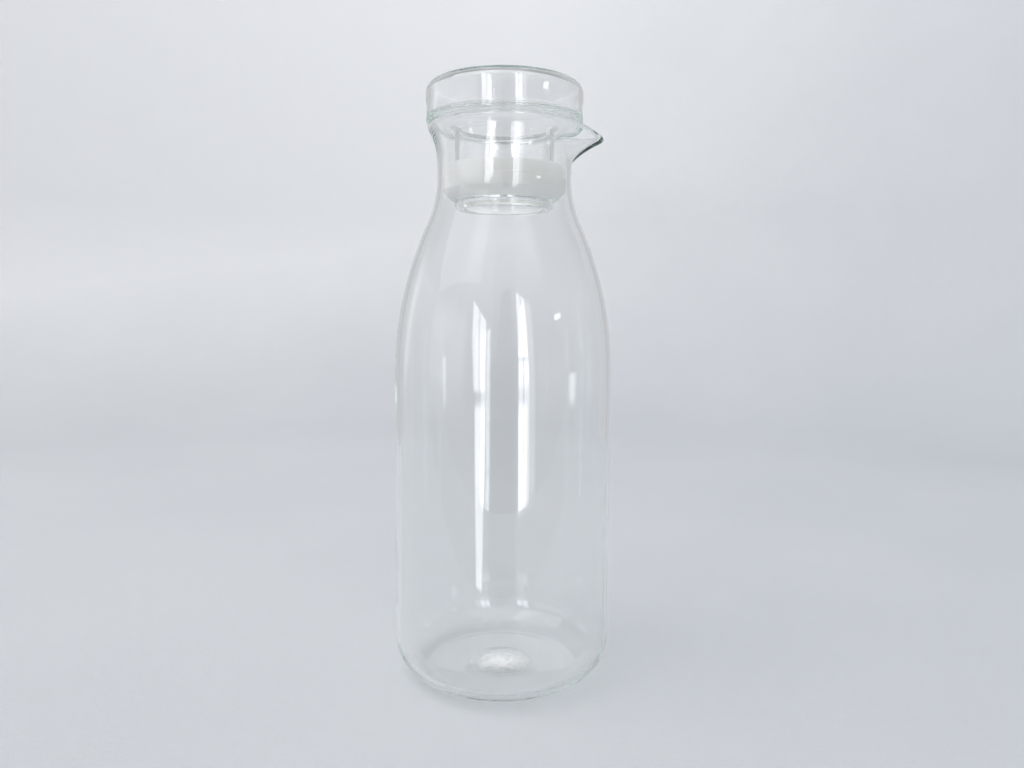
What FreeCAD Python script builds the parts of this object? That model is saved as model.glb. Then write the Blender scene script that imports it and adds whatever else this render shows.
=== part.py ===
"""Glass dressing bottle with a pulled spout, its hollow glass lid and the ring that seals the lid.

All sizes are in millimetres. The origin is the middle of the foot, +Z is up and the spout points along +X.
"""
import FreeCAD, Part
import math
import os

# Bottle, one blown piece of glass
BOTTLE_HEIGHT = 189.5       # foot to the top of the rim
BODY_RADIUS = 37.5
GLASS_WALL = 1.6
FLOOR_THICKNESS = 2.0
BASE_CORNER_RADIUS = 12.5
PUSH_UP_RADIUS = 12.0       # hollow pressed up under the middle of the base
PUSH_UP_HEIGHT = 1.5
PUSH_UP_EDGE = 8.0          # rounding from the foot into the hollow
SHOULDER_RADIUS = 125.0     # long convex curve above the straight body
NECK_CURVE_RADIUS = 37.0    # hollow curve from the shoulder into the neck
NECK_BORE_RADIUS = 21.3
NECK_LENGTH = 4.8           # straight stretch that the ring seals against
FLARE_RADIUS = 21.0         # outward curve of the mouth
FLARE_HEIGHT = 12.5         # top of the straight neck to the top of the rim
RIM_BEAD = 1.2              # radius of the melted rim, into which the wall thickens

# Pouring spout, pulled out of the rim on one side
SPOUT_OVERHANG = 7.3        # tip beyond the round rim
SPOUT_DROP = 3.2            # tip below the round rim
SPOUT_TIP_ANGLE = 3.0       # degrees each side over which the two straight lips round into the tip
SPOUT_ROOT = 0.15           # share of the flare over which the spout bends out of the neck
SPOUT_ROOT_WIDTH = 0.4      # width of the channel at the neck, as a share of its width at the rim
SPOUT_SECTOR = 120.0        # degrees of the mouth that are drawn apart from the round rest
SPOUT_SPANS = 40            # patches across the spout's sector
FLARE_SPANS = 5             # patches from the neck to the rim

# Lid, one hollow blown piece: a drum over the rim and a stem in the neck
DRUM_OVERHANG = 0.5         # drum beyond the rim
DRUM_HEIGHT = 13.2
LID_WALL = 1.4
DRUM_TOP_EDGE = 3.2
DRUM_BOTTOM_EDGE = 1.0
CAVITY_EDGE = 1.8           # rounding inside the drum
STEM_FILLET = 2.5
STEM_TAIL = 3.4             # stem below the ring
STEM_BEAD_GROWTH = 1.05     # radius that the melted end gains over half the wall

# Sealing ring round the stem
RING_HEIGHT = 11.4
RING_THICKNESS = 4.1
RING_SETBACK = 1.3          # top of the ring below the top of the straight neck
RING_BAND_HEIGHT = 6.7      # wider lower band, chamfer included
RING_STEP = 0.35            # upper band set in from the lower one
RING_FOOT = 1.0             # flat left inside the chamfer
RING_CHAMFER_HEIGHT = 3.0
RING_TOP_EDGE = 0.4

# Clearances
SEAT_CLEARANCE = 0.2        # drum above the rim
SEAL_CLEARANCE = 0.25       # ring in the neck
RING_FIT = 0.05             # ring on the stem
SEW_TOLERANCE = 0.0001

# Places that follow from the sizes
NECK_RADIUS = NECK_BORE_RADIUS + GLASS_WALL
NECK_TOP = BOTTLE_HEIGHT - FLARE_HEIGHT
NECK_BOTTOM = NECK_TOP - NECK_LENGTH
CURVE_CENTRES = SHOULDER_RADIUS + NECK_CURVE_RADIUS
SHOULDER_RISE = math.sqrt(CURVE_CENTRES ** 2 - (CURVE_CENTRES - BODY_RADIUS + NECK_RADIUS) ** 2)
SHOULDER_BOTTOM = NECK_BOTTOM - SHOULDER_RISE
SHOULDER_TURN = math.degrees(math.asin(SHOULDER_RISE / CURVE_CENTRES))
RIM_RISE = FLARE_HEIGHT - RIM_BEAD
FLARE_MIDDLE = FLARE_RADIUS + RIM_BEAD
FLARE_AXIS = NECK_RADIUS + FLARE_RADIUS
FLARE_TURN = math.asin(RIM_RISE / FLARE_MIDDLE)
RIM_MIDDLE = FLARE_AXIS - FLARE_MIDDLE * math.cos(FLARE_TURN)
RIM_RADIUS = RIM_MIDDLE + RIM_BEAD
RIM_OUT = RIM_MIDDLE - NECK_BORE_RADIUS
INNER_FLARE_RADIUS = (RIM_OUT ** 2 + RIM_RISE ** 2 - RIM_BEAD ** 2) / (RIM_OUT - RIM_BEAD) / 2
SPOUT_TIP = math.radians(SPOUT_TIP_ANGLE)
SPOUT_TURN = math.acos(RIM_RADIUS / (RIM_RADIUS + SPOUT_OVERHANG)) + SPOUT_TIP
RING_RADIUS = NECK_BORE_RADIUS - SEAL_CLEARANCE
RING_BORE = RING_RADIUS - RING_THICKNESS
RING_TOP = NECK_TOP - RING_SETBACK
RING_BOTTOM = RING_TOP - RING_HEIGHT
STEM_RADIUS = RING_BORE - RING_FIT
STEM_BORE = STEM_RADIUS - LID_WALL
STEM_BOTTOM = RING_BOTTOM - STEM_TAIL
STEM_BEAD = LID_WALL / 2 + STEM_BEAD_GROWTH
DRUM_RADIUS = RIM_RADIUS + DRUM_OVERHANG
DRUM_BOTTOM = BOTTLE_HEIGHT + SEAT_CLEARANCE
DRUM_TOP = DRUM_BOTTOM + DRUM_HEIGHT

ORIGIN = FreeCAD.Vector(0, 0, 0)
UP = FreeCAD.Vector(0, 0, 1)


def at(radius, height):
    """Point of the XZ plane."""
    return FreeCAD.Vector(radius, 0, height)


def on_circle(centre, radius, degrees):
    """Point of the XZ plane on a circle, at an angle counted from +X towards +Z."""
    angle = math.radians(degrees)
    return at(centre.x + radius * math.cos(angle), centre.z + radius * math.sin(angle))


def arc(centre, radius, start, end):
    """Arc in the XZ plane from one angle to another."""
    stops = [on_circle(centre, radius, angle) for angle in (start, (start + end) / 2, end)]
    return Part.Arc(*stops).toShape()


def join(edges):
    """The edges with a straight line wherever one ends short of the next one's start."""
    joined = [edges[0]]
    for edge in edges[1:]:
        last = joined[-1].valueAt(joined[-1].LastParameter)
        first = edge.valueAt(edge.FirstParameter)
        if last.distanceToPoint(first) > SEW_TOLERANCE:
            joined.append(Part.makeLine(last, first))
        joined.append(edge)
    return joined


def turned(edges):
    """Solid of revolution of a closed outline whose ends lie on the axis."""
    return Part.Face(Part.Wire(edges)).revolve(ORIGIN, UP, 360)


def base_curve(height):
    """Pressed-up middle of the base, from the axis out to the flat ring round it."""
    lift = PUSH_UP_EDGE - PUSH_UP_HEIGHT
    dome = (PUSH_UP_RADIUS ** 2 + lift ** 2 - PUSH_UP_EDGE ** 2) / (2 * PUSH_UP_HEIGHT)
    turn = math.degrees(math.asin(PUSH_UP_RADIUS / (dome + PUSH_UP_EDGE)))
    crown = arc(at(0, height + PUSH_UP_HEIGHT - dome), dome, 90, 90 - turn)
    edge = arc(at(PUSH_UP_RADIUS, height + PUSH_UP_EDGE), PUSH_UP_EDGE, 270 - turn, 270)
    return [crown, edge]


def wall_curve(inset, floor):
    """One skin of the bottle from the middle of the base up to the top of the straight neck.

    The inset is 0 on the outside and the wall's thickness on the inside.
    """
    corner = BASE_CORNER_RADIUS - inset
    corner_centre = at(BODY_RADIUS - BASE_CORNER_RADIUS, floor + corner)
    shoulder_centre = at(BODY_RADIUS - SHOULDER_RADIUS, SHOULDER_BOTTOM)
    neck_centre = at(NECK_RADIUS + NECK_CURVE_RADIUS, NECK_BOTTOM)
    neck = Part.makeLine(at(NECK_RADIUS - inset, NECK_BOTTOM), at(NECK_RADIUS - inset, NECK_TOP))
    return join(base_curve(floor) + [
        arc(corner_centre, corner, 270, 360),
        arc(shoulder_centre, SHOULDER_RADIUS - inset, 0, SHOULDER_TURN),
        arc(neck_centre, NECK_CURVE_RADIUS + inset, 180 + SHOULDER_TURN, 180),
        neck,
    ])


def mouth_curve():
    """Flare, rounded rim and the inside of the flare, which touches the rim with a curve of its own."""
    outer_turn = math.degrees(FLARE_TURN)
    inner_turn = math.degrees(math.asin(RIM_RISE / (INNER_FLARE_RADIUS - RIM_BEAD)))
    rim = at(RIM_MIDDLE, NECK_TOP + RIM_RISE)
    outside = arc(at(FLARE_AXIS, NECK_TOP), FLARE_RADIUS, 180, 180 - outer_turn)
    outer_bead = arc(rim, RIM_BEAD, -outer_turn, 90)
    inner_bead = arc(rim, RIM_BEAD, 90, 180 - inner_turn)
    inside = arc(at(NECK_BORE_RADIUS + INNER_FLARE_RADIUS, NECK_TOP), INNER_FLARE_RADIUS, 180 - inner_turn, 180)
    return [outside, outer_bead, inner_bead, inside]


def sector(edges, start, sweep):
    """Faces that the edges sweep out round the axis."""
    return [edge.rotated(ORIGIN, UP, start).revolve(ORIGIN, UP, sweep) for edge in edges]


def spout_share(angle):
    """How far the rim is pulled at an angle from the spout: 1 at the tip, 0 where the lip leaves the circle.

    Seen from above, each lip is a straight line from the tip that touches the round rim.
    """
    lean = SPOUT_TURN - math.hypot(angle, SPOUT_TIP)
    if lean <= 0:
        return 0.0
    return RIM_RADIUS * (1 / math.cos(lean) - 1) / SPOUT_OVERHANG


def pulled(point):
    """A point of the round mouth moved to its place in the spout, at the same depth in the wall."""
    angle = math.atan2(point.y, point.x)
    across = FLARE_AXIS - math.hypot(point.x, point.y)
    rise = point.z - NECK_TOP
    turn = math.atan2(rise, across)
    depth = math.hypot(across, rise) - FLARE_MIDDLE
    along = max(turn / FLARE_TURN, 0)
    share = spout_share(angle / (SPOUT_ROOT_WIDTH + (1 - SPOUT_ROOT_WIDTH) * along))
    pull = share * (1 + SPOUT_ROOT) * along ** 2 / (along + SPOUT_ROOT)
    pull_rate = share * (1 + SPOUT_ROOT) * along * (along + 2 * SPOUT_ROOT) / (along + SPOUT_ROOT) ** 2
    out_rate = FLARE_MIDDLE * math.sin(turn) + pull_rate / FLARE_TURN * SPOUT_OVERHANG
    up_rate = FLARE_MIDDLE * math.cos(turn) - pull_rate / FLARE_TURN * SPOUT_DROP
    slope = math.atan2(up_rate, out_rate)
    radius = FLARE_AXIS - FLARE_MIDDLE * math.cos(turn) + pull * SPOUT_OVERHANG - depth * math.sin(slope)
    height = NECK_TOP + FLARE_MIDDLE * math.sin(turn) - pull * SPOUT_DROP + depth * math.cos(slope)
    return FreeCAD.Vector(radius * math.cos(angle), radius * math.sin(angle), height)


def spout_face(face):
    """A turned face of the mouth with its poles pulled into the spout."""
    surface = face.toNurbs().Faces[0].Surface
    surface.increaseDegree(3, 3)
    u_start, u_end, v_start, v_end = surface.bounds()
    for span in range(1, SPOUT_SPANS):
        surface.insertUKnot(u_start + (u_end - u_start) * span / SPOUT_SPANS, 1, SEW_TOLERANCE)
    for span in range(1, FLARE_SPANS):
        surface.insertVKnot(v_start + (v_end - v_start) * span / FLARE_SPANS, 1, SEW_TOLERANCE)
    for u in range(1, surface.NbUPoles + 1):
        for v in range(1, surface.NbVPoles + 1):
            surface.setPole(u, v, pulled(surface.getPole(u, v)))
    return surface.toShape()


def make_bottle():
    """Bottle: a turned body and mouth, and the pulled sector of the mouth."""
    walls = wall_curve(0, 0) + wall_curve(GLASS_WALL, FLOOR_THICKNESS)
    mouth = mouth_curve()
    half = SPOUT_SECTOR / 2
    faces = sector(walls + mouth, half, 360 - SPOUT_SECTOR)
    faces += sector(walls, -half, SPOUT_SECTOR)
    faces += [spout_face(face) for face in sector(mouth, -half, SPOUT_SECTOR)]
    shell = Part.makeShell(faces)
    shell.sewShape(SEW_TOLERANCE)
    return Part.makeSolid(shell)


def make_lid():
    """Lid: the hollow drum with its stem, open at the stem's melted end."""
    cavity = DRUM_RADIUS - LID_WALL
    bend = at(STEM_RADIUS + STEM_FILLET, DRUM_BOTTOM - STEM_FILLET)
    floor_edge = at(cavity - CAVITY_EDGE, DRUM_BOTTOM + LID_WALL + CAVITY_EDGE)
    roof_edge = at(cavity - CAVITY_EDGE, DRUM_TOP - LID_WALL - CAVITY_EDGE)
    top_edge = at(DRUM_RADIUS - DRUM_TOP_EDGE, DRUM_TOP - DRUM_TOP_EDGE)
    bottom_edge = at(DRUM_RADIUS - DRUM_BOTTOM_EDGE, DRUM_BOTTOM + DRUM_BOTTOM_EDGE)
    bead = at(STEM_RADIUS - STEM_BEAD, STEM_BOTTOM + STEM_BEAD)
    bead_end = math.degrees(math.acos((STEM_BORE - bead.x) / STEM_BEAD)) - 360
    axis = Part.makeLine(at(0, DRUM_TOP - LID_WALL), at(0, DRUM_TOP))
    return turned(join([
        axis,
        arc(top_edge, DRUM_TOP_EDGE, 90, 0),
        arc(bottom_edge, DRUM_BOTTOM_EDGE, 0, -90),
        arc(bend, STEM_FILLET, 90, 180),
        arc(bead, STEM_BEAD, 0, bead_end),
        arc(bend, STEM_FILLET + LID_WALL, 180, 90),
        arc(floor_edge, CAVITY_EDGE, -90, 0),
        arc(roof_edge, CAVITY_EDGE, 0, 90),
        Part.makeLine(at(roof_edge.x, DRUM_TOP - LID_WALL), at(0, DRUM_TOP - LID_WALL)),
    ]))


def make_ring():
    """Sealing ring: a chamfered lower band and a slightly narrower upper band."""
    upper = RING_RADIUS - RING_STEP
    corners = [
        at(RING_BORE, RING_BOTTOM),
        at(RING_BORE + RING_FOOT, RING_BOTTOM),
        at(RING_RADIUS, RING_BOTTOM + RING_CHAMFER_HEIGHT),
        at(RING_RADIUS, RING_BOTTOM + RING_BAND_HEIGHT),
        at(upper, RING_BOTTOM + RING_BAND_HEIGHT + RING_STEP),
        at(upper, RING_TOP - RING_TOP_EDGE),
        at(upper - RING_TOP_EDGE, RING_TOP),
        at(RING_BORE, RING_TOP),
    ]
    return Part.Face(Part.makePolygon(corners + corners[:1])).revolve(ORIGIN, UP, 360)


def main():
    """Write one STEP file for each piece."""
    os.makedirs("parts", exist_ok=True)
    pieces = {"bottle": make_bottle(), "lid": make_lid(), "sealing_ring": make_ring()}
    for name, shape in pieces.items():
        shape.exportStep(f"parts/{name}.step")
        print(name, "valid" if shape.isValid() else "not valid", round(shape.Volume, 1), "mm3")


main()
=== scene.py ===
"""Looks of a clear glass dressing bottle: its blown body with a pulled spout, hollow lid and soft ring.

Lengths are in metres and angles in degrees, unless a name says otherwise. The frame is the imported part's
own: the origin is the middle of the foot, +Z is up and the spout points along +X.
"""
from __future__ import annotations

import logging
import math
from dataclasses import dataclass
from enum import Enum

import bpy
from mathutils import Matrix, Vector


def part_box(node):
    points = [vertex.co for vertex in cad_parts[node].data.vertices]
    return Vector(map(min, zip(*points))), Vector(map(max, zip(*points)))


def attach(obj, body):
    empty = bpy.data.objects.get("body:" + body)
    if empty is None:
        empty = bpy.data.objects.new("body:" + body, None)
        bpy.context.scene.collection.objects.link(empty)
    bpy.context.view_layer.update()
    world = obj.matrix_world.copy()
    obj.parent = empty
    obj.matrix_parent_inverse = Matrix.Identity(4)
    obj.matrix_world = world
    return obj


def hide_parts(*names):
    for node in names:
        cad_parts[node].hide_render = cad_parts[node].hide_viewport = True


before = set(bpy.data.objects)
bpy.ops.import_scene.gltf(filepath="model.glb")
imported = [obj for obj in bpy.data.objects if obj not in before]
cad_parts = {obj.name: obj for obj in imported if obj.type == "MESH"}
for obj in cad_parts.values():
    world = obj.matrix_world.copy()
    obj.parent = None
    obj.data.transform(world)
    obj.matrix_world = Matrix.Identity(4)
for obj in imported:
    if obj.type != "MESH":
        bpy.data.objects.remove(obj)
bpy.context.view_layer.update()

LOG = logging.getLogger("dressing_bottle")

# Fineness of the meshes
GLASS_STEPS = 360           # faces round a glass piece
RING_STEPS = 256
STAGE_STEPS = 128
ARC_TURN = 5.0              # most that an arc turns from point to point
ARC_RUN_MIN = 0.00012
ARC_RUN_MAX = 0.0025
LINE_RUN = 0.004
MERGE_DISTANCE = 1e-6

HALF_BOUNCE = 0.5           # parts no bounce of light from one or more

Colour = tuple[float, float, float, float]


class Body(Enum):
    """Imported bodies, each of which is one node of the same name."""

    BOTTLE = "bottle"
    LID = "lid"
    RING = "sealing_ring"


class Slot(Enum):
    """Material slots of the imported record."""

    BOTTLE = "bottle_glass"
    LID = "lid_glass"
    RING = "soft_ring"


def reach(body: Body) -> float:
    """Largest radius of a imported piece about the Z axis, leaving out the spout's side."""
    low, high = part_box(body.value)
    return max(-low.x, -low.y, high.y)


@dataclass(frozen=True)
class Arc:
    """Arc of a half outline, in the plane of radius and height."""

    centre: Vector
    radius: float
    start: float
    end: float

    def points(self) -> list[Vector]:
        """Points along the arc, close enough to look round.

        Returns:
            The points from the start to the end, both included.
        """
        turn = abs(self.end - self.start)
        run = math.radians(turn) * self.radius
        count = min(math.ceil(turn / ARC_TURN), math.ceil(run / ARC_RUN_MIN))
        count = max(count, math.ceil(run / ARC_RUN_MAX), 2)
        angles = [math.radians(self.start + (self.end - self.start) * i / count) for i in range(count + 1)]
        return [self.centre + self.radius * Vector((math.cos(a), math.sin(a))) for a in angles]


def outline(stops: list[Arc | Vector], run: float = LINE_RUN) -> list[Vector]:
    """Points of a half outline through arcs and corners.

    Args:
        stops: Arcs and corner points in order, in the plane of radius and height.
        run: Longest stretch between points on the straight lines from stop to stop.

    Returns:
        The points in order, none of them twice in a row.
    """
    path: list[Vector] = []
    for stop in stops:
        for place, point in enumerate(stop.points() if isinstance(stop, Arc) else [stop]):
            if not path:
                path.append(point)
                continue
            last, gap = path[-1], (point - path[-1]).length
            if gap < MERGE_DISTANCE:
                continue
            parts = math.ceil(gap / run) if place == 0 else 1
            path += [last.lerp(point, i / parts) for i in range(1, parts + 1)]
    return path


class Lathe:
    """Draws half outlines in edit mode and turns them round the Z axis."""

    def __init__(self, name: str, steps: int) -> None:
        """Start a new piece as a single point on the axis.

        Args:
            name: Name of the piece.
            steps: Faces round the axis.
        """
        self.steps = steps
        bpy.ops.object.select_all(action="DESELECT")
        bpy.ops.mesh.primitive_plane_add(size=1, location=(0, 0, 0))
        self.piece = bpy.context.object
        self.piece.name = self.piece.data.name = name
        bpy.ops.object.mode_set(mode="EDIT")
        bpy.ops.mesh.select_all(action="SELECT")
        bpy.ops.mesh.merge(type="CENTER")

    def draw(self, path: list[Vector]) -> Lathe:
        """Draw the outline by extruding the point along it.

        Args:
            path: Points of radius and height.

        Returns:
            The lathe itself.
        """
        here = Vector((0, 0, 0))
        for place, point in enumerate(path):
            there = Vector((point.x, 0, point.y))
            if place == 0:
                bpy.ops.transform.translate(value=there - here)
            else:
                bpy.ops.mesh.extrude_region_move(TRANSFORM_OT_translate={"value": there - here})
            here = there
        return self

    def round_corners(self, width: float, segments: int) -> Lathe:
        """Round every corner of a closed outline.

        Args:
            width: Length that each rounding takes off its two sides.
            segments: Edges of each rounding.

        Returns:
            The lathe itself.
        """
        bpy.ops.mesh.select_all(action="SELECT")
        bpy.ops.mesh.remove_doubles(threshold=MERGE_DISTANCE)
        bpy.ops.mesh.bevel(offset=width, segments=segments, affect="VERTICES")
        return self

    def turn(self) -> bpy.types.Object:
        """Turn the outline into a closed skin with its faces outwards.

        Returns:
            The finished object, smooth shaded.
        """
        bpy.ops.object.mode_set(mode="OBJECT")
        bpy.ops.object.modifier_add(type="SCREW")
        screw = self.piece.modifiers[-1]
        screw.axis = "Z"
        screw.steps = screw.render_steps = self.steps
        screw.use_merge_vertices = True
        screw.merge_threshold = MERGE_DISTANCE
        bpy.ops.object.modifier_apply(modifier=screw.name)
        bpy.ops.object.mode_set(mode="EDIT")
        bpy.ops.mesh.select_all(action="SELECT")
        bpy.ops.mesh.remove_doubles(threshold=MERGE_DISTANCE)
        bpy.ops.mesh.normals_make_consistent(inside=False)
        bpy.ops.object.mode_set(mode="OBJECT")
        bpy.ops.object.shade_smooth()
        self.piece.select_set(False)
        return self.piece


class NodeBoard:
    """Node tree with short ways to add nodes and join them."""

    def __init__(self, tree: bpy.types.NodeTree) -> None:
        """Empty the tree."""
        self.tree = tree
        tree.nodes.clear()

    def add(self, kind: str, **settings: object) -> bpy.types.Node:
        """Add a node.

        Args:
            kind: Blender's name of the node's type, without the leading ShaderNode.
            settings: Properties of the node.

        Returns:
            The new node.
        """
        node = self.tree.nodes.new("ShaderNode" + kind)
        for name, value in settings.items():
            setattr(node, name, value)
        return node

    def put(self, target: bpy.types.NodeSocket, value: object) -> None:
        """Give a socket a link or a plain value.

        Args:
            target: Input socket.
            value: Output socket to link from, or the value to set.
        """
        if isinstance(value, bpy.types.NodeSocket):
            self.tree.links.new(value, target)
        else:
            target.default_value = value

    def maths(self, operation: str, *operands: object) -> bpy.types.NodeSocket:
        """Add a Math node.

        Args:
            operation: Blender's name of the operation.
            operands: Sockets or numbers.

        Returns:
            The result's socket.
        """
        node = self.add("Math", operation=operation)
        for target, value in zip(node.inputs, operands):
            self.put(target, value)
        return node.outputs[0]

    def ramp(self, value: object, low: float, high: float, to_low: object = 0.0,
             to_high: object = 1.0) -> bpy.types.NodeSocket:
        """Map a value from one range to another, with smooth ends.

        Args:
            value: Socket to read.
            low: Value that gives to_low.
            high: Value that gives to_high.
            to_low: Number or socket of the result at the low end.
            to_high: Number or socket of the result at the high end.

        Returns:
            The result's socket.
        """
        node = self.add("MapRange", interpolation_type="SMOOTHSTEP")
        for name, setting in (("Value", value), ("From Min", low), ("From Max", high),
                              ("To Min", to_low), ("To Max", to_high)):
            self.put(node.inputs[name], setting)
        return node.outputs[0]

    def noise(self, scale: float, detail: float, place: object) -> bpy.types.NodeSocket:
        """Add a noise pattern.

        Args:
            scale: Waves per metre, roughly.
            detail: Octaves.
            place: Socket of coordinates.

        Returns:
            The pattern's socket, about 0.5 on average.
        """
        node = self.add("TexNoise")
        for name, setting in (("Vector", place), ("Scale", scale), ("Detail", detail)):
            self.put(node.inputs[name], setting)
        return node.outputs[0]

    def bump(self, height: object, depth: float, strength: float) -> bpy.types.NodeSocket:
        """Add a bump.

        Args:
            height: Socket of a pattern from 0 to 1.
            depth: Height of the pattern's top.
            strength: Share of the bump that shows.

        Returns:
            Socket of the bent normal.
        """
        node = self.add("Bump")
        for name, setting in (("Strength", strength), ("Distance", depth), ("Height", height)):
            self.put(node.inputs[name], setting)
        return node.outputs[0]

    def mixed(self, share: object, first: object, second: object) -> bpy.types.NodeSocket:
        """Mix two colours.

        Args:
            share: Share of the second colour.
            first: First colour or socket.
            second: Second colour or socket.

        Returns:
            The mixed colour's socket.
        """
        node = self.add("Mix", data_type="RGBA")
        colour_inputs = [s for s in node.inputs if s.type == "RGBA"]
        self.put(node.inputs["Factor"], share)
        self.put(colour_inputs[0], first)
        self.put(colour_inputs[1], second)
        return next(s for s in node.outputs if s.type == "RGBA")


def new_material(name: str) -> tuple[bpy.types.Material, NodeBoard]:
    """Make a material with an empty node tree.

    Args:
        name: Name of the material.

    Returns:
        The material and its board.
    """
    material = bpy.data.materials.new(name)
    material.use_nodes = True
    return material, NodeBoard(material.node_tree)


@dataclass(frozen=True)
class PaintedBrightSpot:
    """Painted bright spot: an oval of rough white glass on the inside of the base, in place of the light
    that the pressed-up base focuses; it fades out towards its edge.
    """

    radius: float                   # half its length along X
    low: float                      # heights between which it lies
    high: float
    edge: float = 0.012             # width over which it fades
    oval: float = 1.4               # its length along X over its width
    ahead: float = 0.004            # how far it lies off the axis, towards -Y
    grain_scale: float = 500.0
    grain_detail: float = 4.0
    cover: tuple[float, float] = (0.75, 1.0)
    cover_from: tuple[float, float] = (0.3, 0.6)    # grain that gives the least and the full cover
    # Colours of the painted bright spot, where its grain is low and high
    thin: Colour = (0.93, 0.93, 0.93, 1.0)
    full: Colour = (0.98, 0.98, 0.98, 1.0)
    ior: float = 1.47
    roughness: float = 0.6

    def lay(self, board: NodeBoard, place: bpy.types.NodeSocket, clear: bpy.types.Node) -> bpy.types.Node:
        """Lay the painted bright spot over the clear glass.

        Args:
            board: Board of the material.
            place: Socket of the object's coordinates.
            clear: Shader of the clear glass.

        Returns:
            The shader with the painted bright spot.
        """
        split = board.add("SeparateXYZ")
        board.put(split.inputs[0], place)
        along, deep, height = split.outputs
        deep = board.maths("MULTIPLY", board.maths("ADD", deep, self.ahead), self.oval)
        square = board.maths("ADD", board.maths("POWER", along, 2.0), board.maths("POWER", deep, 2.0))
        share = board.ramp(board.maths("SQRT", square), self.radius, self.radius - self.edge)
        share = board.maths("MULTIPLY", share, board.maths("GREATER_THAN", height, self.low))
        share = board.maths("MULTIPLY", share, board.maths("LESS_THAN", height, self.high))
        grain = board.noise(self.grain_scale, self.grain_detail, place)
        share = board.maths("MULTIPLY", share, board.ramp(grain, *self.cover_from, *self.cover))
        # Rough white glass that paints the bright spot of focused light
        painted_spot_bsdf = board.add("BsdfPrincipled")
        board.put(painted_spot_bsdf.inputs["Base Color"], board.mixed(grain, self.thin, self.full))
        board.put(painted_spot_bsdf.inputs["Roughness"], self.roughness)
        board.put(painted_spot_bsdf.inputs["IOR"], self.ior)
        blend = board.add("MixShader")
        board.put(blend.inputs[0], share)
        board.put(blend.inputs[1], clear.outputs[0])
        board.put(blend.inputs[2], painted_spot_bsdf.outputs[0])
        return blend


@dataclass(frozen=True)
class ClearGlass:
    """Fire-polished heat-resistant glass, with the faint green of its depth."""

    name: str
    # Painted bright spot laid over the glass, if any
    painted_spot: PaintedBrightSpot | None = None
    clearness: Colour = (0.984, 0.986, 0.986, 1.0)
    ior: float = 1.47
    depth_colour: Colour = (0.78, 0.865, 0.825, 1.0)
    depth_density: float = 14.0
    polish: tuple[float, float] = (0.0, 0.012)      # roughness of the clearest and the dullest places
    polish_from: tuple[float, float] = (0.45, 0.75)
    polish_scale: float = 45.0
    polish_detail: float = 3.0
    ripple_scale: float = 30.0
    ripple_detail: float = 1.0
    ripple_depth: float = 0.0001
    ripple_strength: float = 1.0

    def make(self) -> bpy.types.Material:
        """Build the node material.

        Returns:
            The material.
        """
        material, board = new_material(self.name)
        place = board.add("TexCoord").outputs["Object"]
        surface = board.add("BsdfPrincipled")
        board.put(surface.inputs["Base Color"], self.clearness)
        board.put(surface.inputs["IOR"], self.ior)
        board.put(surface.inputs["Transmission Weight"], 1.0)
        wear = board.noise(self.polish_scale, self.polish_detail, place)
        board.put(surface.inputs["Roughness"], board.ramp(wear, *self.polish_from, *self.polish))
        ripple = board.noise(self.ripple_scale, self.ripple_detail, place)
        board.put(surface.inputs["Normal"], board.bump(ripple, self.ripple_depth, self.ripple_strength))
        depth = board.add("VolumeAbsorption")
        board.put(depth.inputs["Color"], self.depth_colour)
        board.put(depth.inputs["Density"], self.depth_density)
        # Painted bright spot of rough white glass over the clear glass
        if self.painted_spot:
            surface = self.painted_spot.lay(board, place, surface)
        output = board.add("OutputMaterial")
        board.put(output.inputs["Surface"], surface.outputs[0])
        board.put(output.inputs["Volume"], depth.outputs[0])
        return material


@dataclass(frozen=True)
class MilkySilicone:
    """Translucent moulded silicone with a satin skin and a faint mottle."""

    name: str
    clear: Colour = (0.96, 0.945, 0.835, 1.0)
    milky: Colour = (0.985, 0.97, 0.88, 1.0)
    ior: float = 1.41
    see_through: float = 0.1
    depth: float = 1.0
    depth_reach: float = 0.01
    depth_share: tuple[float, float, float] = (1.0, 1.0, 0.9)      # of the reach, for red, green and blue
    mottle_scale: float = 180.0
    mottle_detail: float = 4.0
    skin_scale: float = 2600.0
    skin_detail: float = 2.0
    skin_depth: float = 0.00002
    skin_strength: float = 0.5
    satin: tuple[float, float] = (0.28, 0.4)        # roughness of the clear and the milky places
    satin_from: tuple[float, float] = (0.3, 0.7)
    sheen: float = 1.0

    def make(self) -> bpy.types.Material:
        """Build the node material.

        Returns:
            The material.
        """
        material, board = new_material(self.name)
        place = board.add("TexCoord").outputs["Object"]
        mottle = board.noise(self.mottle_scale, self.mottle_detail, place)
        surface = board.add("BsdfPrincipled", subsurface_method="RANDOM_WALK")
        board.put(surface.inputs["Base Color"], board.mixed(mottle, self.clear, self.milky))
        board.put(surface.inputs["IOR"], self.ior)
        board.put(surface.inputs["Transmission Weight"], self.see_through)
        board.put(surface.inputs["Subsurface Weight"], self.depth)
        board.put(surface.inputs["Subsurface Scale"], self.depth_reach)
        board.put(surface.inputs["Subsurface Radius"], self.depth_share)
        board.put(surface.inputs["Specular IOR Level"], self.sheen)
        board.put(surface.inputs["Roughness"], board.ramp(mottle, *self.satin_from, *self.satin))
        skin = board.noise(self.skin_scale, self.skin_detail, place)
        board.put(surface.inputs["Normal"], board.bump(skin, self.skin_depth, self.skin_strength))
        output = board.add("OutputMaterial")
        board.put(output.inputs["Surface"], surface.outputs[0])
        return material


def dress(piece: bpy.types.Object, material: bpy.types.Material, body: Body) -> None:
    """Give a finished piece its material and body, and hide the node that it stands for.

    Args:
        piece: Finished object.
        material: Its finish.
        body: Body that it rides on, and node that it replaces.
    """
    piece.data.materials.clear()
    piece.data.materials.append(material)
    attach(piece, body.value)
    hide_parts(body.value)
    triangles = sum(len(face.vertices) - 2 for face in piece.data.polygons)
    LOG.info("%s on %s, %d triangles", piece.name, body.value, triangles)


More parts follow.
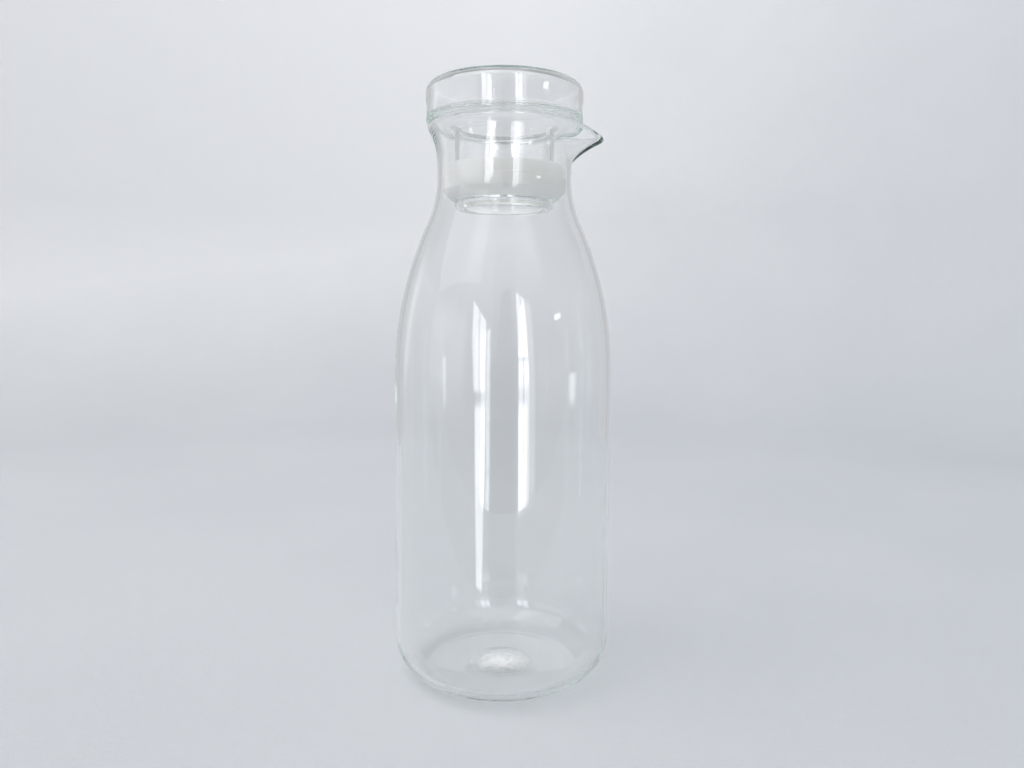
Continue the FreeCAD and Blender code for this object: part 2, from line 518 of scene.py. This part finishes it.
@dataclass
class Bottle:
    """Blown bottle: pressed-up base, round body, long shoulder, neck and flared mouth with a spout."""

    height: float
    body_radius: float
    wall: float = 0.0016
    floor: float = 0.002
    base_corner: float = 0.0125
    push_up_radius: float = 0.012
    push_up_height: float = 0.0015
    push_up_edge: float = 0.008
    shoulder_radius: float = 0.125
    neck_curve: float = 0.037
    neck_bore: float = 0.0213
    neck_length: float = 0.0048
    flare_radius: float = 0.021
    flare_height: float = 0.0125
    rim_bead: float = 0.0012
    spout_overhang: float = 0.0073
    spout_drop: float = 0.0032
    spout_tip: float = 3.0
    spout_root: float = 0.15
    spout_root_width: float = 0.4
    painted_spot_radius: float = 0.0135       # painted bright spot inside the base, in place of focused light
    painted_spot_top: float = 0.01            # height below which the painted bright spot lies

    @classmethod
    def from_frame(cls) -> Bottle:
        """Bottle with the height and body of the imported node."""
        return cls(height=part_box(Body.BOTTLE.value)[1].z, body_radius=reach(Body.BOTTLE))

    def __post_init__(self) -> None:
        """Work out the places that follow from the sizes."""
        self.neck_radius = self.neck_bore + self.wall
        self.neck_top = self.height - self.flare_height
        self.neck_bottom = self.neck_top - self.neck_length
        centres = self.shoulder_radius + self.neck_curve
        across = centres - self.body_radius + self.neck_radius
        rise = math.sqrt(centres ** 2 - across ** 2)
        self.shoulder_bottom = self.neck_bottom - rise
        self.shoulder_turn = math.degrees(math.asin(rise / centres))
        self.rim_rise = self.flare_height - self.rim_bead
        self.flare_middle = self.flare_radius + self.rim_bead
        self.flare_axis = self.neck_radius + self.flare_radius
        self.flare_turn = math.asin(self.rim_rise / self.flare_middle)
        self.rim_middle = self.flare_axis - self.flare_middle * math.cos(self.flare_turn)
        self.rim_radius = self.rim_middle + self.rim_bead
        rim_out = self.rim_middle - self.neck_bore
        rim_span = rim_out ** 2 + self.rim_rise ** 2 - self.rim_bead ** 2
        self.inner_flare = rim_span / (rim_out - self.rim_bead) / 2
        tip_reach = self.rim_radius + self.spout_overhang
        self.spout_turn = math.acos(self.rim_radius / tip_reach) + math.radians(self.spout_tip)

    def base(self, floor: float) -> list[Arc]:
        """Pressed-up middle of the base, from the axis out to the foot.

        Args:
            floor: Height of the flat ring round it.

        Returns:
            The crown and the rounding into the foot.
        """
        lift = self.push_up_edge - self.push_up_height
        dome = (self.push_up_radius ** 2 + lift ** 2 - self.push_up_edge ** 2) / (2 * self.push_up_height)
        turn = math.degrees(math.asin(self.push_up_radius / (dome + self.push_up_edge)))
        crown = Arc(Vector((0, floor + self.push_up_height - dome)), dome, 90, 90 - turn)
        edge_centre = Vector((self.push_up_radius, floor + self.push_up_edge))
        return [crown, Arc(edge_centre, self.push_up_edge, 270 - turn, 270)]

    def skin(self, inset: float, floor: float) -> list[Vector]:
        """One skin of the wall, from the middle of the base to the top of the straight neck.

        Args:
            inset: 0 on the outside and the wall's thickness on the inside.
            floor: Height of the skin's flat ring.

        Returns:
            Points of radius and height.
        """
        corner = self.base_corner - inset
        corner_centre = Vector((self.body_radius - self.base_corner, floor + corner))
        shoulder_centre = Vector((self.body_radius - self.shoulder_radius, self.shoulder_bottom))
        neck_centre = Vector((self.neck_radius + self.neck_curve, self.neck_bottom))
        return outline(self.base(floor) + [
            Arc(corner_centre, corner, 270, 360),
            Arc(shoulder_centre, self.shoulder_radius - inset, 0, self.shoulder_turn),
            Arc(neck_centre, self.neck_curve + inset, 180 + self.shoulder_turn, 180),
            Vector((self.neck_radius - inset, self.neck_top)),
        ])

    def mouth(self) -> list[Vector]:
        """Flare, rounded rim and the inside of the flare.

        Returns:
            Points of radius and height.
        """
        outer_turn = math.degrees(self.flare_turn)
        inner_turn = math.degrees(math.asin(self.rim_rise / (self.inner_flare - self.rim_bead)))
        rim = Vector((self.rim_middle, self.neck_top + self.rim_rise))
        outer_centre = Vector((self.flare_axis, self.neck_top))
        inner_centre = Vector((self.neck_bore + self.inner_flare, self.neck_top))
        return outline([
            Arc(outer_centre, self.flare_radius, 180, 180 - outer_turn),
            Arc(rim, self.rim_bead, -outer_turn, 180 - inner_turn),
            Arc(inner_centre, self.inner_flare, 180 - inner_turn, 180),
        ])

    def spout_share(self, angle: float) -> float:
        """How far the rim is pulled: 1 at the tip, 0 where the straight lip leaves the circle.

        Args:
            angle: Angle from the spout, in radians.

        Returns:
            The share of the full pull.
        """
        lean = self.spout_turn - math.hypot(angle, math.radians(self.spout_tip))
        if lean <= 0:
            return 0.0
        return self.rim_radius * (1 / math.cos(lean) - 1) / self.spout_overhang

    def pulled(self, point: Vector) -> Vector:
        """A point of the round mouth moved to its place in the spout, at the same depth in the wall.

        Args:
            point: Point above the straight neck.

        Returns:
            Its new place.
        """
        angle = math.atan2(point.y, point.x)
        across = self.flare_axis - math.hypot(point.x, point.y)
        rise = point.z - self.neck_top
        turn = math.atan2(rise, across)
        depth = math.hypot(across, rise) - self.flare_middle
        along = max(turn / self.flare_turn, 0)
        width = self.spout_root_width + (1 - self.spout_root_width) * along
        share = self.spout_share(angle / width) * (1 + self.spout_root)
        pull = share * along ** 2 / (along + self.spout_root)
        pull_rate = share * along * (along + 2 * self.spout_root) / (along + self.spout_root) ** 2
        out_rate = self.flare_middle * math.sin(turn) + pull_rate / self.flare_turn * self.spout_overhang
        up_rate = self.flare_middle * math.cos(turn) - pull_rate / self.flare_turn * self.spout_drop
        slope = math.atan2(up_rate, out_rate)
        middle_radius = self.flare_axis - self.flare_middle * math.cos(turn) + pull * self.spout_overhang
        middle_height = self.neck_top + self.flare_middle * math.sin(turn) - pull * self.spout_drop
        radius = middle_radius - depth * math.sin(slope)
        height = middle_height + depth * math.cos(slope)
        return Vector((radius * math.cos(angle), radius * math.sin(angle), height))

    def build(self) -> bpy.types.Object:
        """Turn the bottle and pull its spout.

        Returns:
            The finished object.
        """
        inside = self.skin(self.wall, self.floor)
        path = self.skin(0, 0) + self.mouth()[1:-1] + inside[::-1]
        piece = Lathe("blown_bottle", GLASS_STEPS).draw(path).turn()
        for vertex in piece.data.vertices:
            if vertex.co.z > self.neck_top + MERGE_DISTANCE:
                vertex.co = self.pulled(vertex.co)
        piece.data.update()
        return piece

    def finish(self) -> None:
        """Build the bottle and dress it."""
        between_faces = (self.floor + self.push_up_height) / 2
        # Painted bright spot inside the base, in place of the light that the pressed-up base focuses
        painted_spot = PaintedBrightSpot(radius=self.painted_spot_radius, low=between_faces, high=self.painted_spot_top)
        glass = ClearGlass("bottle_clear_glass", painted_spot)
        dress(self.build(), glass.make(), Body.BOTTLE)


@dataclass
class Lid:
    """Hollow blown lid: a drum over the rim and an open stem in the neck."""

    drum_radius: float
    top: float
    stem_bottom: float
    stem_radius: float = 0.0169
    drum_height: float = 0.0132
    wall: float = 0.0014
    top_edge: float = 0.0032
    bottom_edge: float = 0.001
    cavity_edge: float = 0.0018
    stem_fillet: float = 0.0025
    bead_growth: float = 0.00105

    @classmethod
    def from_frame(cls) -> Lid:
        """Lid with the drum, height and stem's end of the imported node."""
        low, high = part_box(Body.LID.value)
        return cls(drum_radius=reach(Body.LID), top=high.z, stem_bottom=low.z)

    def build(self) -> bpy.types.Object:
        """Turn the lid.

        Returns:
            The finished object.
        """
        drum_bottom = self.top - self.drum_height
        cavity = self.drum_radius - self.wall
        roof = self.top - self.wall
        bore = self.stem_radius - self.wall
        bend = Vector((self.stem_radius + self.stem_fillet, drum_bottom - self.stem_fillet))
        bead_radius = self.wall / 2 + self.bead_growth
        bead = Vector((self.stem_radius - bead_radius, self.stem_bottom + bead_radius))
        bead_end = math.degrees(math.acos((bore - bead.x) / bead_radius)) - 360
        top_edge = Vector((self.drum_radius - self.top_edge, self.top - self.top_edge))
        bottom_edge = Vector((self.drum_radius - self.bottom_edge, drum_bottom + self.bottom_edge))
        floor_edge = Vector((cavity - self.cavity_edge, drum_bottom + self.wall + self.cavity_edge))
        roof_edge = Vector((cavity - self.cavity_edge, roof - self.cavity_edge))
        path = outline([
            Vector((0, self.top)),
            Arc(top_edge, self.top_edge, 90, 0),
            Arc(bottom_edge, self.bottom_edge, 0, -90),
            Arc(bend, self.stem_fillet, 90, 180),
            Arc(bead, bead_radius, 0, bead_end),
            Arc(bend, self.stem_fillet + self.wall, 180, 90),
            Arc(floor_edge, self.cavity_edge, -90, 0),
            Arc(roof_edge, self.cavity_edge, 0, 90),
            Vector((0, roof)),
        ])
        return Lathe("hollow_lid", GLASS_STEPS).draw(path).turn()

    def finish(self) -> None:
        """Build the lid and dress it."""
        dress(self.build(), ClearGlass("lid_clear_glass").make(), Body.LID)


@dataclass
class SealingRing:
    """Moulded ring round the stem: a chamfered lower band and a slightly narrower upper band."""

    radius: float
    bottom: float
    top: float
    thickness: float = 0.0041
    band_height: float = 0.0067
    step: float = 0.00035
    foot: float = 0.001
    chamfer_height: float = 0.003
    top_edge: float = 0.0004
    corner_width: float = 0.00012
    corner_segments: int = 3

    @classmethod
    def from_frame(cls) -> SealingRing:
        """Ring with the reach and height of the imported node."""
        low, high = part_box(Body.RING.value)
        return cls(radius=reach(Body.RING), bottom=low.z, top=high.z)

    def build(self) -> bpy.types.Object:
        """Turn the ring.

        Returns:
            The finished object.
        """
        bore = self.radius - self.thickness
        upper = self.radius - self.step
        band_top = self.bottom + self.band_height
        corners = [
            Vector((bore, self.bottom)),
            Vector((bore + self.foot, self.bottom)),
            Vector((self.radius, self.bottom + self.chamfer_height)),
            Vector((self.radius, band_top)),
            Vector((upper, band_top + self.step)),
            Vector((upper, self.top - self.top_edge)),
            Vector((upper - self.top_edge, self.top)),
            Vector((bore, self.top)),
        ]
        lathe = Lathe("soft_ring", RING_STEPS).draw(corners + corners[:1])
        return lathe.round_corners(self.corner_width, self.corner_segments).turn()

    def finish(self) -> None:
        """Build the ring and dress it."""
        dress(self.build(), MilkySilicone("milky_silicone").make(), Body.RING)


@dataclass(frozen=True)
class Pane:
    """Bright or dark panel of the studio, as the glass mirrors it.

    The corners are (azimuth, elevation) seen from the bottle, counter-clockwise. Azimuth 0 is towards the
    camera of the main view and grows towards the spout.
    """

    corners: tuple[tuple[float, float], ...]
    radiance: float
    soft: float = 1.0

    def mask(self, board: NodeBoard, azimuth: object, elevation: object) -> bpy.types.NodeSocket:
        """Share of the panel in a direction.

        Args:
            board: Board of the world.
            azimuth: Socket of the direction's azimuth.
            elevation: Socket of the direction's elevation.

        Returns:
            Socket that is 1 inside the panel and 0 outside.
        """
        inside: object = 1.0
        for first, second in zip(self.corners, self.corners[1:] + self.corners[:1]):
            side = (Vector(second) - Vector(first)).normalized()
            offset = side.y * first[0] - side.x * first[1]
            across = board.maths("MULTIPLY_ADD", azimuth, -side.y, offset)
            across = board.maths("MULTIPLY_ADD", elevation, side.x, across)
            inside = board.maths("MULTIPLY", inside, board.ramp(across, -self.soft / 2, self.soft / 2))
        return inside


@dataclass
class Studio:
    """Pale floor and backdrop, the light and the camera."""

    floor_colour: Colour = (0.605, 0.625, 0.65, 1.0)
    # The floor's cloth painted lighter, as painted light on the wall
    painted_lit_wall_colour: Colour = (0.95, 0.95, 0.955, 1.0)
    painted_light_heights: tuple[float, float] = (-0.14, 0.34)     # heights between which painted light turns the cloth from the floor's tone to the brighter wall's tone
    painted_side_shade_share: float = 0.90            # share of painted shade by which the wall darkens from the left to the right
    blotch: float = 0.08               # share by which the cloth's tone wanders
    blotch_scale: float = 6.0
    blotch_detail: float = 3.0
    weave_scale: float = 900.0
    weave_detail: float = 2.0
    weave_depth: float = 0.0005
    weave_strength: float = 0.3
    cloth_roughness: float = 0.95
    cloth_sheen: float = 0.1
    wall_radius: float = 0.84
    wall_height: float = 0.75
    wall_bend: float = 0.25
    floor_gap: float = 0.0004          # the foot rests on the tips of the weave
    cloth_edge: float = -0.14          # the glass mirrors the cloth only behind this line
    cloth_side: float = 0.30           # and only this far to each side at the back
    cloth_back: float = 0.35
    cloth_top: float = 0.40            # and up to this height
    surround: Colour = (0.95, 0.97, 1.0, 1.0)
    surround_strength: float = 0.885
    surround_tilt: float = 0.40        # how much brighter it is on the left, and dimmer on the right
    front: float = 0.42                # brightness that the glass mirrors past the cloth
    ceiling: float = 1.35
    ceiling_from: tuple[float, float] = (14.0, 46.0)
    back: float = 0.58
    back_top: float = 0.45
    back_top_from: tuple[float, float] = (40.0, 48.0)
    back_from: tuple[float, float] = (-0.1, 0.1)            # sine of the turn from the front to the back
    panes: tuple[Pane, ...] = (
        # Dim sides and a glow low on the left
        Pane(((-125.0, 20.0), (-50.0, 20.0), (-50.0, 70.0), (-125.0, 70.0)), 0.32, 20.0),
        Pane(((50.0, 20.0), (125.0, 20.0), (125.0, 70.0), (50.0, 70.0)), 0.32, 20.0),
        Pane(((-125.0, -6.0), (-40.0, -6.0), (-40.0, 18.0), (-125.0, 18.0)), 1.3, 10.0),
        # Dark panel in the middle, wide below and narrow above
        Pane(((-17.0, -40.0), (15.0, -40.0), (14.0, 8.0), (-13.0, 3.0)), 0.0, 2.0),
        Pane(((-8.0, 0.0), (13.5, 0.0), (8.0, 29.0), (-2.0, 27.0)), 0.0, 2.0),
        # Bright panel on the left, upper and lower half
        Pane(((-29.8, -5.8), (-17.7, -5.8), (-18.0, 16.5), (-33.7, 23.0)), 5.0),
        Pane(((-26.2, -22.0), (-20.9, -22.0), (-17.5, -7.2), (-28.8, -7.2)), 5.0),
        # Bright panel on the right and its softer border
        Pane(((17.0, -14.8), (34.0, -13.0), (31.0, 22.0), (15.0, 27.0)), 2.0, 3.0),
        Pane(((17.0, -14.8), (28.0, -14.0), (24.5, 24.0), (15.0, 27.0)), 5.0),
        # Bars across the bright panels
        Pane(((21.6, -15.0), (22.5, -15.0), (20.0, 27.0), (19.1, 27.0)), 0.8, 0.6),
        Pane(((-24.4, -6.0), (-23.4, -6.0), (-25.2, 20.0), (-26.2, 20.0)), 0.8, 0.6),
        # Small lights on the right
        Pane(((58.5, 14.9), (65.5, 14.9), (65.5, 16.4), (58.5, 16.4)), 8.0),
        Pane(((73.0, -7.0), (83.0, -7.0), (83.0, -2.5), (73.0, -2.5)), 3.5),
    )
    lamp_place: Vector = Vector((-0.75, -0.2, 1.1))
    lamp_target: Vector = Vector((-0.25, 0.6, 0.25))
    lamp_size: float = 1.2
    lamp_power: float = 5.8
    camera_place: Vector = Vector((0.0031, -0.2786, 0.1286))
    camera_pitch: float = -5.5
    camera_roll: float = 0.4
    focal_pixels: float = 800.0
    picture_width: float = 1024.0
    sensor_width: float = 36.0
    lens_near: float = 0.01            # closer things do not show
    light_bounces: int = 300           # light that the glass traps goes round many times before it leaves

    @staticmethod
    def by_glass(board: NodeBoard, *depths: str) -> bpy.types.NodeSocket:
        """Tell rays that come from the camera by way of polished surfaces alone.

        Args:
            board: Board of the cloth or the world.
            depths: Outputs of the Light Path node that count the bounces of the wanted kinds.

        Returns:
            Socket that is 1 for such rays and 0 for the others.
        """
        path = board.add("LightPath")
        bounces: object = 0.0
        for name in depths:
            bounces = board.maths("ADD", bounces, path.outputs[name])
        polished = board.maths("GREATER_THAN", bounces, HALF_BOUNCE)
        undimmed = board.maths("LESS_THAN", path.outputs["Diffuse Depth"], HALF_BOUNCE)
        return board.maths("MULTIPLY", polished, undimmed)

    def cloth(self) -> bpy.types.Material:
        """Pale woven cloth with painted light that brightens it up the wall and painted shade from the
        left to the right, which the glass mirrors only within its edges.

        Returns:
            The material.
        """
        material, board = new_material("pale_cloth")
        place = board.add("TexCoord").outputs["Object"]
        surface = board.add("BsdfPrincipled")
        split = board.add("SeparateXYZ")
        board.put(split.inputs[0], place)
        side, depth, height = split.outputs
        # Painted light: the cloth turns lighter with height, from the floor's tone to the wall's; the
        # blotches wander at random
        rise = board.ramp(height, *self.painted_light_heights)
        # Painted shade: the cloth darkens from the left to the right, as light from the left would make it
        painted_side_shade = board.maths("MULTIPLY_ADD", side, -self.painted_side_shade_share / self.wall_radius, 1.0)
        blotches = board.noise(self.blotch_scale, self.blotch_detail, place)
        blotches = board.ramp(blotches, 0.0, 1.0, -self.blotch, self.blotch)
        rise = board.maths("MULTIPLY_ADD", rise, painted_side_shade, blotches)
        board.put(surface.inputs["Base Color"], board.mixed(rise, self.floor_colour, self.painted_lit_wall_colour))
        board.put(surface.inputs["Roughness"], self.cloth_roughness)
        board.put(surface.inputs["Specular IOR Level"], self.cloth_sheen)
        weave = board.noise(self.weave_scale, self.weave_detail, place)
        board.put(surface.inputs["Normal"], board.bump(weave, self.weave_depth, self.weave_strength))
        past = board.maths("LESS_THAN", depth, self.cloth_edge)
        past = board.maths("MAXIMUM", past, board.maths("GREATER_THAN", height, self.cloth_top))
        aside = board.maths("GREATER_THAN", board.maths("ABSOLUTE", side), self.cloth_side)
        aside = board.maths("MULTIPLY", aside, board.maths("GREATER_THAN", depth, self.cloth_back))
        past = board.maths("MAXIMUM", past, aside)
        blend = board.add("MixShader")
        board.put(blend.inputs[0], board.maths("MULTIPLY", past, self.by_glass(board, "Glossy Depth")))
        board.put(blend.inputs[1], surface.outputs[0])
        board.put(blend.inputs[2], board.add("BsdfTransparent").outputs[0])
        board.put(board.add("OutputMaterial").inputs["Surface"], blend.outputs[0])
        return material

    def build_backdrop(self) -> None:
        """Turn the floor and the wall that it curves up into."""
        bend = Vector((self.wall_radius - self.wall_bend, self.wall_bend - self.floor_gap))
        path = outline([
            Vector((0, -self.floor_gap)),
            Arc(bend, self.wall_bend, 270, 360),
            Vector((self.wall_radius, self.wall_height)),
        ], run=self.wall_height)
        piece = Lathe("backdrop", STAGE_STEPS).draw(path).turn()
        piece.data.materials.append(self.cloth())

    def build_world(self) -> None:
        """Pale surround, in which the glass mirrors the bright and dark panels."""
        world = bpy.data.worlds.new("surround")
        bpy.context.scene.world = world
        world.use_nodes = True
        world.cycles.sampling_method = "NONE"
        board = NodeBoard(world.node_tree)
        split = board.add("SeparateXYZ")
        board.put(split.inputs[0], board.add("TexCoord").outputs["Generated"])
        east, north, up = split.outputs
        turn = board.maths("ARCTAN2", east, board.maths("MULTIPLY", north, -1.0))
        azimuth = board.maths("DEGREES", turn)
        elevation = board.maths("DEGREES", board.maths("ARCSINE", up))
        ahead = board.ramp(elevation, *self.ceiling_from, self.front, self.ceiling)
        behind = board.ramp(elevation, *self.back_top_from, self.back, self.back_top)
        seen = board.ramp(north, *self.back_from, ahead, behind)
        for pane in self.panes:
            inside = pane.mask(board, azimuth, elevation)
            change = board.maths("SUBTRACT", pane.radiance, seen)
            seen = board.maths("MULTIPLY_ADD", inside, change, seen)
        pale = board.add("Background")
        board.put(pale.inputs["Color"], self.surround)
        lit = board.maths("MULTIPLY_ADD", east, -self.surround_tilt, self.surround_strength)
        board.put(pale.inputs["Strength"], lit)
        panels = board.add("Background")
        board.put(panels.inputs["Color"], self.surround)
        board.put(panels.inputs["Strength"], seen)
        blend = board.add("MixShader")
        board.put(blend.inputs[0], self.by_glass(board, "Glossy Depth", "Transmission Depth"))
        board.put(blend.inputs[1], pale.outputs[0])
        board.put(blend.inputs[2], panels.outputs[0])
        board.put(board.add("OutputWorld").inputs["Surface"], blend.outputs[0])

    def build_lamp(self) -> None:
        """Large soft lamp towards the backdrop, which polished surfaces do not mirror."""
        lamp = bpy.data.lights.new("soft_lamp", "AREA")
        lamp.shape = "SQUARE"
        lamp.size = self.lamp_size
        lamp.energy = self.lamp_power
        holder = bpy.data.objects.new("soft_lamp", lamp)
        bpy.context.scene.collection.objects.link(holder)
        holder.location = self.lamp_place
        aim = self.lamp_target - self.lamp_place
        holder.rotation_euler = aim.to_track_quat("-Z", "Y").to_euler()
        holder.visible_camera = False
        holder.visible_glossy = False

    def build_camera(self) -> None:
        """Camera of the main view."""
        lens = bpy.data.cameras.new("main_view")
        lens.sensor_width = self.sensor_width
        lens.lens = self.sensor_width * self.focal_pixels / self.picture_width
        lens.clip_start = self.lens_near
        camera = bpy.data.objects.new("main_view", lens)
        bpy.context.scene.collection.objects.link(camera)
        tilt = Matrix.Rotation(math.radians(90 + self.camera_pitch), 4, "X")
        roll = Matrix.Rotation(math.radians(self.camera_roll), 4, "Z")
        camera.matrix_world = Matrix.Translation(self.camera_place) @ tilt @ roll
        bpy.context.scene.camera = camera

    def build(self) -> None:
        """Set up the stage, the light, the camera and the picture's plain look."""
        self.build_backdrop()
        self.build_world()
        self.build_lamp()
        self.build_camera()
        scene = bpy.context.scene
        scene.view_settings.view_transform = "Standard"
        scene.cycles.max_bounces = self.light_bounces
        scene.cycles.transmission_bounces = self.light_bounces
        scene.cycles.glossy_bounces = self.light_bounces
        scene.cycles.transparent_max_bounces = self.light_bounces
        scene.cycles.blur_glossy = 0.0
        scene.cycles.caustics_refractive = True
        scene.cycles.caustics_reflective = True


def main() -> None:
    """Build the pieces in order, then the studio round them."""
    logging.basicConfig(level=logging.INFO, format="%(name)s: %(message)s")
    for assembly in (Bottle, Lid, SealingRing):
        assembly.from_frame().finish()
    Studio().build()


if __name__ == "__main__":
    main()
